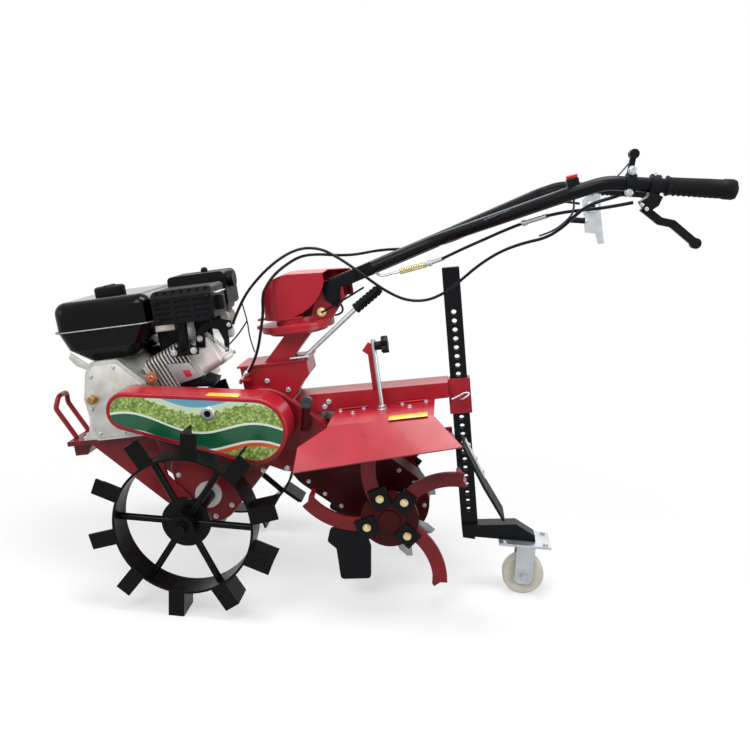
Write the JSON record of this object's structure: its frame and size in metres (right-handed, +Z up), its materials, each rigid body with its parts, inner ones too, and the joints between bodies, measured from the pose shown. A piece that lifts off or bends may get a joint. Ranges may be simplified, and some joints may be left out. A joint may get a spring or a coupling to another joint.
{
  "type": "walk-behind power tiller",
  "caption": "Walk-behind petrol power tiller on lugged steel wheels, with belt guard, gearbox, swivelling handlebar, hooded tine rotor and a tail wheel on a sliding post.",
  "frame": {"origin": "On the floor, under the centre of the parked machine's box", "axes": "+X forward, +Y to the machine's left, +Z up"},
  "size_m": [1.3046, 0.614, 0.9478],
  "materials": {
    "crimson_paint": "glossy crimson enamel",
    "black_paint": "satin black enamel",
    "wheel_black": "gloss black enamel",
    "cast_aluminium": "as-cast aluminium",
    "machined_steel": "turned steel",
    "tank_black": "gloss black enamel",
    "black_plastic": "moulded black plastic",
    "decal": "printed film in plain green bands",
    "black_rubber": "moulded rubber",
    "nylon": "cream nylon",
    "zinc": "zinc plated",
    "grey_plastic": "moulded grey plastic"
  },
  "bodies": {
    "chassis": {"gearbox_case": "crimson_paint", "axle_seals": "machined_steel", "engine_bed": "crimson_paint", "front_bumper": "crimson_paint", "engine_block": "cast_aluminium", "engine_cylinder": "cast_aluminium", "rocker_cover": "cast_aluminium", "tank_upper": "tank_black", "tank_lower": "tank_black", "tank_cap": "black_plastic", "muffler_guard": "black_paint", "air_cleaner": "black_plastic", "recoil_starter": "tank_black", "belt_guard": "crimson_paint", "guard_panel": "decal", "guard_backplate": "crimson_paint", "handle_base": "crimson_paint", "turret_base": "crimson_paint", "oil_filler": "grey_plastic", "throttle_bracket": "black_paint", "shift_lever": "zinc", "depth_lever": "zinc", "post_sleeve": "crimson_paint", "rear_beam": "crimson_paint", "rotor_hood": "crimson_paint", "rear_flap": "black_rubber", "rotor_case": "crimson_paint"},
    "drive_wheels": {"wheel_axle": "wheel_black", "left_wheel": "wheel_black", "right_wheel": "wheel_black"},
    "rotor": {"rotor_shaft": "wheel_black", "left_tines": "crimson_paint", "right_tines": "crimson_paint", "left_hoe": "black_paint", "right_hoe": "black_paint"},
    "handlebar": {"turret_top": "crimson_paint", "turret_cover": "crimson_paint", "handle_stem": "black_paint", "left_arm": "black_paint", "right_arm": "black_paint", "left_grip": "black_rubber", "right_grip": "black_rubber", "left_lever": "black_plastic", "right_control": "zinc", "throttle_lever": "black_plastic", "kill_switch": "black_plastic", "throttle_cable": "black_rubber", "gear_cable": "black_rubber", "clutch_cable": "black_rubber"},
    "tail": {"tail_post": "black_paint", "tail_fork": "zinc"},
    "tail_roller": {"tail_wheel": "nylon"}
  },
  "joints": [
    {"name": "drive_wheels", "type": "hinge", "parent": "chassis", "child": "drive_wheels", "pos_m": [0.29106, 0.00683, 0.19018], "axis": [0, 1, 0.0098], "continuous": true},
    {"name": "rotor_spin", "type": "hinge", "parent": "chassis", "child": "rotor", "pos_m": [-0.10945, 0.00679, 0.19375], "axis": [0, 1, 0.0098], "continuous": true},
    {"name": "handle_swivel", "type": "hinge", "parent": "chassis", "child": "handlebar", "pos_m": [0.11579, 0.0032, 0.56085], "axis": [0.1885, -0.0096, 0.982], "range_deg": [-30, 30], "deforming": ["throttle_cable", "gear_cable"]},
    {"name": "post_slide", "type": "slide", "parent": "chassis", "child": "tail", "axis": [0.149, -0.0097, 0.9888], "range_m": [-0.114, 0.152]},
    {"name": "tail_wheel_roll", "type": "hinge", "parent": "tail", "child": "tail_roller", "pos_m": [-0.4068, 0.00825, 0.04514], "axis": [0, 1, 0.0098], "continuous": true}
  ]
}
